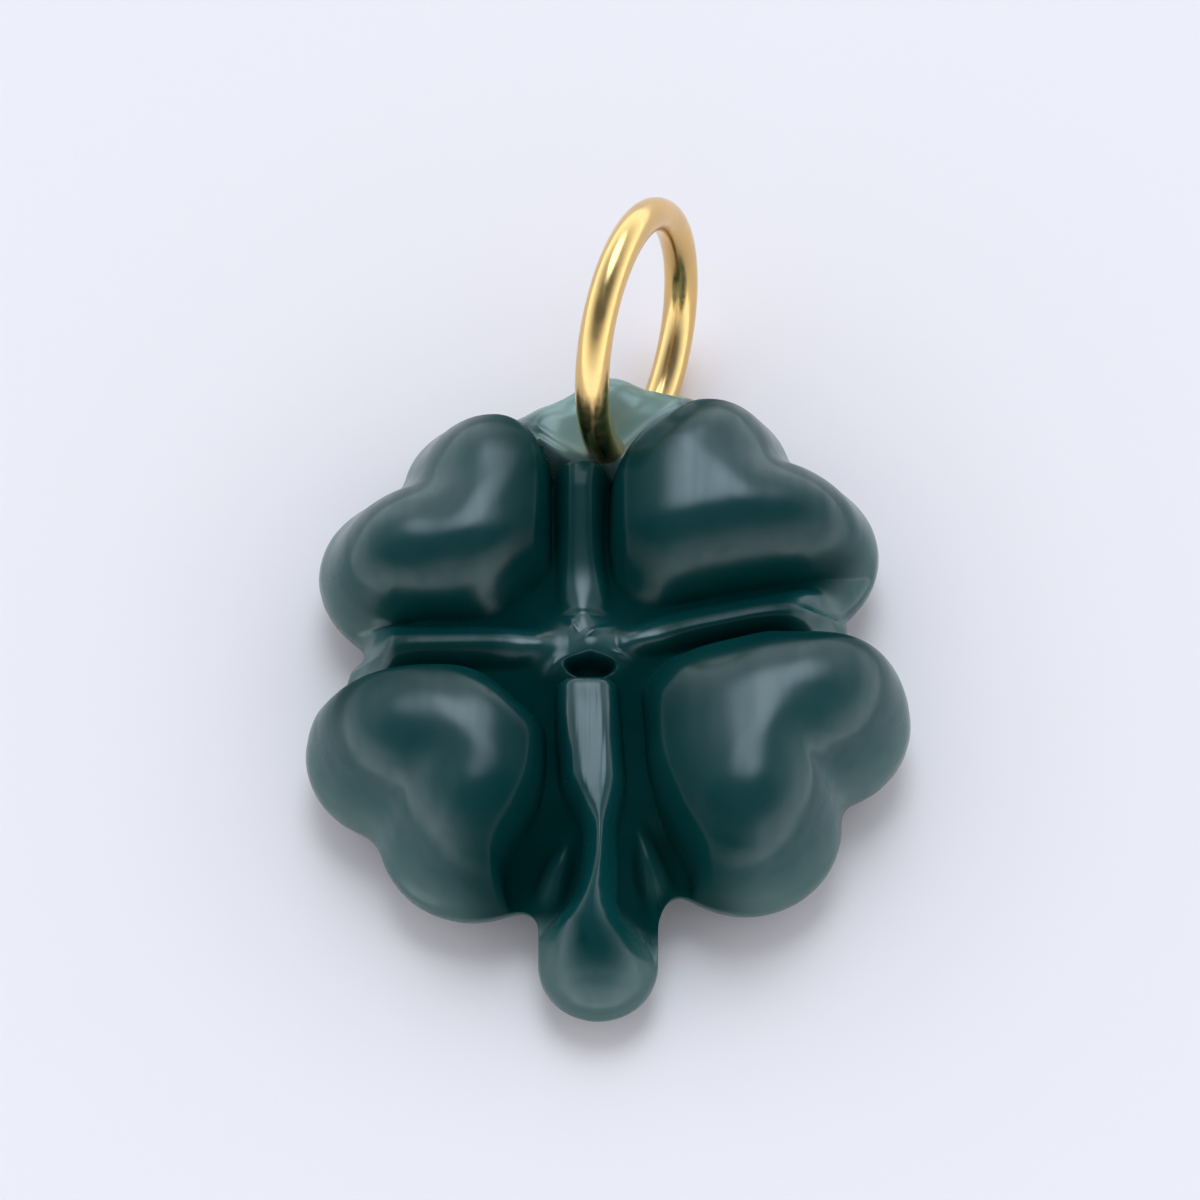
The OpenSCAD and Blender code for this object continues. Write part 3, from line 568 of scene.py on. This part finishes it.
# the stone: its grid closed by a point at the star above and below, with four numbers on each point; the
# hole is not cut yet, as the note on holeCutter says
def makeStone():
    gridX, gridY, gridZ = stonePoints()
    rows, columns = gridX.shape
    points = np.stack([gridX, gridY, gridZ], -1).reshape(-1, 3)
    ends = [[*star, float(topHeight(*star))], [*star, float(underHeight(*star))]]
    quads, fans = closedFaces(rows, columns, rows * columns, rows * columns + 1)
    stone = makeMesh("carvedClover", np.concatenate([points, ends]), quads, fans)
    cutter = holeCutter()
    cut = stone.modifiers.new("hole", "BOOLEAN")
    cut.operation, cut.solver, cut.object = "DIFFERENCE", "EXACT", cutter
    mesh = bpy.data.meshes.new_from_object(stone.evaluated_get(bpy.context.evaluated_depsgraph_get()))
    stone.modifiers.clear()
    stone.data = mesh
    bpy.data.objects.remove(cutter)
    mesh.set_sharp_from_angle(angle=math.radians(stoneSizes["creaseAngle"]))
    place = np.empty(len(mesh.vertices) * 3)
    mesh.vertices.foreach_get("co", place)
    x, y, z = (place.reshape(-1, 3) / mm).T
    top = topHeight(x, y)
    thickness = top - underHeight(x, y)
    addAttribute(mesh, "thickness", thickness)
    # groove: where the polish is dull and painted shade darkens the stone, in the channels, the pit and on
    # the paddle
    addAttribute(mesh, "groove", grooveDullAndShadeShare(x, y) * (z > widestHeight(x, y)))
    # tabGlow: painted light shining through the thin tab, which makes it paler
    addAttribute(mesh, "tabGlow", tabShare(x, y) * smoothStep(2.6, 1.6, thickness))
    onTop = z - top > -0.02
    onLeaf = np.max([leafSwell(x, y, index) for index in range(4)], axis=0)
    # lipLight: a painted highlight along the lip's raised lines, faded over the leaves
    lines = lipLines(x, y) / stoneSizes["lipRise"] * onTop
    addAttribute(mesh, "lipLight", lines * smoothStep(0.3, 0.8, rimDepth(x, y)) * (1 - 0.8 * onLeaf))
    return stone


# the ring: a circle of wire carried round a circle, a little thinner at one row, which is its seam
def makeRing():
    sides = ringSizes["sides"]
    seam = math.radians(ringSizes["seamAngle"])
    halfSeam = ringSizes["seamWidth"] / 2 / ringRadius
    steps = np.linspace(halfSeam * 2, 2 * np.pi - halfSeam * 2, ringSizes["around"])
    u = np.concatenate([seam + halfSeam * np.array([-1, 0, 1]), seam + steps])[:, None]
    v = np.linspace(0, 2 * np.pi, sides, endpoint=False)[None, :]
    around = len(u)
    nick = np.zeros((around, 1))
    nick[1] = ringSizes["seamDepth"]
    spoke = np.cos(u)[..., None] * ringAlong + np.sin(u)[..., None] * ringUp
    wire = wireRadius - nick
    points = (ringMiddle + spoke * (ringRadius + wire * np.cos(v))[..., None]
              + (wire * np.sin(v))[..., None] * ringNormal)
    row = np.arange(around)[:, None] * sides
    nextRow = (np.arange(around)[:, None] + 1) % around * sides
    column = np.arange(sides)[None, :]
    beside = (column + 1) % sides
    quads = np.stack([row + column, nextRow + column, nextRow + beside, row + beside], -1).reshape(-1, 4)
    return makeMesh("goldRing", points.reshape(-1, 3), quads)


print("stage: stone")
stone = makeStone()
print("stage: ring")
ring = makeRing()


# a new material, its node tree and its Principled shader
def newMaterial(name):
    material = bpy.data.materials.new(name)
    material.use_nodes = True
    tree = material.node_tree
    return material, tree, tree.nodes["Principled BSDF"]


# a new node of a kind, with its inputs and settings given by name
def node(tree, kind, **values):
    made = tree.nodes.new(kind)
    for key, value in values.items():
        if key in made.inputs:
            made.inputs[key].default_value = value
        else:
            setattr(made, key, value)
    return made


# a value for a socket: linked where it comes from a node, set where it is a plain number or colour
def feed(tree, value, socket):
    if isinstance(value, bpy.types.NodeSocket):
        tree.links.new(value, socket)
    else:
        socket.default_value = value


# one colour at a factor of 0, another at 1
def mixColor(tree, factor, one, two):
    mixer = node(tree, "ShaderNodeMix", data_type="RGBA")
    for value, socket in zip((factor, one, two), (mixer.inputs[0], mixer.inputs[6], mixer.inputs[7])):
        feed(tree, value, socket)
    return mixer.outputs[2]


# the result of an operation on two values, held between 0 and 1 where clamped
def mathOf(tree, operation, one, two, clamped=False):
    worked = node(tree, "ShaderNodeMath", operation=operation, use_clamp=clamped)
    feed(tree, one, worked.inputs[0])
    feed(tree, two, worked.inputs[1])
    return worked.outputs[0]


# value from low to high as a share runs from 0 to 1
def mapped(tree, share, low, high):
    spread = node(tree, "ShaderNodeMapRange")
    tree.links.new(share, spread.inputs["Value"])
    spread.inputs["To Min"].default_value, spread.inputs["To Max"].default_value = low, high
    return spread.outputs["Result"]


# share from 0 to 1 as a value runs from start to end, along a straight line or a smooth step
def ranged(tree, value, start, end, kind="LINEAR"):
    spread = node(tree, "ShaderNodeMapRange", interpolation_type=kind)
    tree.links.new(value, spread.inputs["Value"])
    spread.inputs["From Min"].default_value, spread.inputs["From Max"].default_value = start, end
    return spread.outputs["Result"]


# what addAttribute put on the mesh
def attributeNamed(tree, name):
    return node(tree, "ShaderNodeAttribute", attribute_name=name).outputs["Fac"]


# marks that both the stone and the gold carry: cloudy patches, and fine wipe marks drawn out along one
# direction, each a noise over the object's own coordinates that runs from 0 to 1
def surfaceMarks():
    group = bpy.data.node_groups.new("surfaceMarks", "ShaderNodeTree")
    for name, value in (("Cloud Size", 250.0), ("Mark Size", 2500.0), ("Drawn Out", 0.15)):
        group.interface.new_socket(name, in_out="INPUT", socket_type="NodeSocketFloat").default_value = value
    for name in ("Clouds", "Marks"):
        group.interface.new_socket(name, in_out="OUTPUT", socket_type="NodeSocketFloat")
    entry, leave = group.nodes.new("NodeGroupInput"), group.nodes.new("NodeGroupOutput")
    place = group.nodes.new("ShaderNodeTexCoord").outputs["Object"]
    clouds = node(group, "ShaderNodeTexNoise", Detail=3.0)
    group.links.new(place, clouds.inputs["Vector"])
    group.links.new(entry.outputs["Cloud Size"], clouds.inputs["Scale"])
    stretch = node(group, "ShaderNodeCombineXYZ", X=1.0, Z=1.0)
    group.links.new(entry.outputs["Drawn Out"], stretch.inputs["Y"])
    drawn = node(group, "ShaderNodeVectorMath", operation="MULTIPLY")
    group.links.new(place, drawn.inputs[0])
    group.links.new(stretch.outputs[0], drawn.inputs[1])
    wiped = node(group, "ShaderNodeTexNoise", Detail=4.0)
    group.links.new(drawn.outputs[0], wiped.inputs["Vector"])
    group.links.new(entry.outputs["Mark Size"], wiped.inputs["Scale"])
    for noise, name in ((clouds, "Clouds"), (wiped, "Marks")):
        group.links.new(ranged(group, noise.outputs["Fac"], 0.35, 0.65), leave.inputs[name])
    return group


marksGroup = surfaceMarks()


# places the marks in a material, with its own cloud size, mark size and drawing out, and gives its outputs
def addMarks(tree, values):
    placed = tree.nodes.new("ShaderNodeGroup")
    placed.node_tree = marksGroup
    for name, value in zip(("Cloud Size", "Mark Size", "Drawn Out"), values):
        placed.inputs[name].default_value = value
    return placed.outputs


stoneFinish = {
    # the thin and middle colours are paler than the deep one: painted light shining through thin stone
    "thinThroughLightColor": (0.035, 0.085, 0.08, 1), "middleColor": (0.001, 0.046, 0.046, 1),
    "deepColor": (0.0004, 0.0320, 0.0330, 1), "fullThickness": 5.0, "thin": 0.2, "middle": 0.45, "deep": 0.8,
    # grooveShadeColor is painted shade for the channels, the pit and the paddle
    "grooveShadeColor": (0.0003, 0.0200, 0.0200, 1), "tabThroughLightColor": (0.15, 0.245, 0.22, 1),
    # lipHighlightColor is a painted highlight along the tab's lip
    "lipHighlightColor": (0.55, 0.60, 0.58, 1), "lipHighlightShare": 0.75,
    "cloudColor": (0.010, 0.075, 0.068, 1), "cloudShare": 0.16,
    "polish": 1.0, "groovePolish": 0.0, "wipedPolish": 0.82, "roughness": 0.22, "grooveRoughness": 0.6,
    "refraction": 1.54, "marks": (260.0, 2600.0, 0.12),
}


# body colour from the stone's thickness, paler where it is thin as painted light shining through it, under a
# clear polish, which is dull in the channels and worn by wiping
def makeStoneMaterial():
    material, tree, shader = newMaterial("green_stone_polished")
    share = mathOf(tree, "DIVIDE", attributeNamed(tree, "thickness"), stoneFinish["fullThickness"])
    ramp = node(tree, "ShaderNodeValToRGB")
    ramp.color_ramp.elements[0].position = stoneFinish["thin"]
    ramp.color_ramp.elements[0].color = stoneFinish["thinThroughLightColor"]
    ramp.color_ramp.elements[1].position = stoneFinish["deep"]
    ramp.color_ramp.elements[1].color = stoneFinish["deepColor"]
    ramp.color_ramp.elements.new(stoneFinish["middle"]).color = stoneFinish["middleColor"]
    tree.links.new(share, ramp.inputs["Fac"])
    groove = attributeNamed(tree, "groove")
    marks = addMarks(tree, stoneFinish["marks"])
    # painted shade: the body colour darkens towards grooveShadeColor where the groove attribute is high
    body = mixColor(tree, groove, ramp.outputs["Color"], stoneFinish["grooveShadeColor"])
    # painted light shining through the thin tab: paler there
    body = mixColor(tree, attributeNamed(tree, "tabGlow"), body, stoneFinish["tabThroughLightColor"])
    # painted highlight: pale lines along the tab's lip
    lip = mapped(tree, attributeNamed(tree, "lipLight"), 0.0, stoneFinish["lipHighlightShare"])
    body = mixColor(tree, lip, body, stoneFinish["lipHighlightColor"])
    clouds = mapped(tree, marks["Clouds"], 0.0, stoneFinish["cloudShare"])
    tree.links.new(mixColor(tree, clouds, body, stoneFinish["cloudColor"]), shader.inputs["Base Color"])
    polish = mapped(tree, groove, stoneFinish["polish"], stoneFinish["groovePolish"])
    wiped = mapped(tree, marks["Marks"], 1.0, stoneFinish["wipedPolish"])
    tree.links.new(mathOf(tree, "MULTIPLY", polish, wiped), shader.inputs["Coat Weight"])
    shader.inputs["Roughness"].default_value = stoneFinish["grooveRoughness"]
    shader.inputs["Specular IOR Level"].default_value = 0.0
    shader.inputs["Coat Roughness"].default_value = stoneFinish["roughness"]
    shader.inputs["Coat IOR"].default_value = stoneFinish["refraction"]
    return material


goldFinish = {
    "color": (0.80, 0.51, 0.18, 1), "wornColor": (0.70, 0.46, 0.19, 1), "roughness": (0.17, 0.27),
    "marks": (700.0, 5200.0, 0.3),
}


# gold whose colour shifts over cloudy patches and whose gloss shifts over fine wipe marks
def makeGoldMaterial():
    material, tree, shader = newMaterial("gold_plated_wire")
    marks = addMarks(tree, goldFinish["marks"])
    color = mixColor(tree, marks["Clouds"], goldFinish["color"], goldFinish["wornColor"])
    tree.links.new(color, shader.inputs["Base Color"])
    tree.links.new(mapped(tree, marks["Marks"], *goldFinish["roughness"]), shader.inputs["Roughness"])
    shader.inputs["Metallic"].default_value = 1
    return material


print("stage: materials")
stone.data.materials.clear()
stone.data.materials.append(makeStoneMaterial())
ring.data.materials.append(makeGoldMaterial())

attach(stone, "root")
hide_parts("clover")
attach(ring, "root")
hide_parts("jump_ring")

floorFinish = {"halfWidth": 0.6, "color": (0.865, 0.765, 0.76, 1), "roughness": 0.75}    # metres


# a plain pale square under the pendant
def makeFloor():
    half = floorFinish["halfWidth"]
    mesh = bpy.data.meshes.new("floor")
    corners = [(-half, -half, 0), (half, -half, 0), (half, half, 0), (-half, half, 0)]
    mesh.from_pydata(corners, [], [(0, 1, 2, 3)])
    floor = bpy.data.objects.new("floor", mesh)
    bpy.context.collection.objects.link(floor)
    material, tree, shader = newMaterial("paleFloor")
    shader.inputs["Base Color"].default_value = floorFinish["color"]
    shader.inputs["Roughness"].default_value = floorFinish["roughness"]
    mesh.materials.append(material)
    return floor


print("stage: floor")
floor = makeFloor()

# a soft light high behind the pendant, pale surroundings near the horizon, and a dark patch round the
# camera
lightSizes = {
    "lightPlace": (0.0, 0.54, 0.84), "lightHalfWidth": math.radians(16), "lightHalfHeight": math.radians(21),
    "lightSoft": 0.85, "lightStrength": 5.1, "lightColor": (0.72, 0.87, 1.0),
    "sky": (0.56, 0.635, 0.715), "horizon": (1.95, 2.13, 2.30), "horizonEdge": (0.0, 0.85),
    "darkPlace": (0.0, -0.20, 0.98), "darkHalfWidth": math.radians(40), "darkHalfHeight": math.radians(33),
    "darkSoft": 0.6, "darkShare": 0.72,
}


# how far each direction points along an axis
def alongAxis(tree, direction, axis):
    dot = node(tree, "ShaderNodeVectorMath", operation="DOT_PRODUCT")
    tree.links.new(direction, dot.inputs[0])
    dot.inputs[1].default_value = axis
    return dot.outputs["Value"]


# how far a direction lies within a soft oval patch of the sky: a smooth step down of the sum of the squares
# of its places across and along the patch, each over the patch's half size there, with 1 added behind the
# patch
def skyPatch(tree, direction, place, halfWidth, halfHeight, soft):
    middle = Vector(place).normalized()
    side = middle.cross(Vector((0, 0, 1))).normalized()
    up = side.cross(middle)
    across = alongAxis(tree, direction, side / math.sin(halfWidth))
    along = alongAxis(tree, direction, up / math.sin(halfHeight))
    behind = mathOf(tree, "MULTIPLY", alongAxis(tree, direction, -middle), 99.0, clamped=True)
    squares = mathOf(tree, "ADD", mathOf(tree, "MULTIPLY", across, across),
                     mathOf(tree, "MULTIPLY", along, along))
    return ranged(tree, mathOf(tree, "ADD", squares, behind), 1 + soft, 1 - soft, "SMOOTHSTEP")


# the sky: from the horizon's colour up to the sky's, darkened round the camera, with the light laid over it
def makeSky():
    world = bpy.data.worlds.new("studio")
    bpy.context.scene.world = world
    world.use_nodes = True
    tree = world.node_tree
    direction = tree.nodes.new("ShaderNodeTexCoord").outputs["Generated"]
    split = tree.nodes.new("ShaderNodeSeparateXYZ")
    tree.links.new(direction, split.inputs[0])
    risen = ranged(tree, split.outputs["Z"], *lightSizes["horizonEdge"], "SMOOTHSTEP")
    sky = mixColor(tree, risen, (*lightSizes["horizon"], 1), (*lightSizes["sky"], 1))
    dark = skyPatch(tree, direction, lightSizes["darkPlace"], lightSizes["darkHalfWidth"],
                    lightSizes["darkHalfHeight"], lightSizes["darkSoft"])
    sky = mixColor(tree, mathOf(tree, "MULTIPLY", dark, lightSizes["darkShare"]), sky, (0.0, 0.0, 0.0, 1))
    lamp = [lightSizes["lightStrength"] * channel for channel in lightSizes["lightColor"]]
    light = skyPatch(tree, direction, lightSizes["lightPlace"], lightSizes["lightHalfWidth"],
                     lightSizes["lightHalfHeight"], lightSizes["lightSoft"])
    background = tree.nodes["Background"]
    tree.links.new(mixColor(tree, light, sky, (*lamp, 1)), background.inputs["Color"])
    background.inputs["Strength"].default_value = 1.0


print("stage: light")
makeSky()

# the camera looks down from the front, at a point 3 mm above the back; the distance is in metres, the
# target in millimetres
cameraSizes = {
    "elevation": 59.0, "distance": 0.300, "lens": 308.6, "sensor": 36, "clipStart": 0.01,
    "target": (0.2041, 1.3606, 3.0),
}


def makeCamera():
    tilt = math.radians(cameraSizes["elevation"])
    lens = bpy.data.cameras.new("camera")
    lens.lens, lens.sensor_width = cameraSizes["lens"], cameraSizes["sensor"]
    lens.clip_start = cameraSizes["clipStart"]
    camera = bpy.data.objects.new("camera", lens)
    bpy.context.collection.objects.link(camera)
    forward = Vector((0, math.cos(tilt), -math.sin(tilt)))
    camera.location = Vector(cameraSizes["target"]) * mm - forward * cameraSizes["distance"]
    camera.rotation_euler = (math.pi / 2 - tilt, 0, 0)
    return camera


print("stage: camera")
bpy.context.scene.camera = makeCamera()
bpy.context.scene.view_settings.view_transform = "Standard"
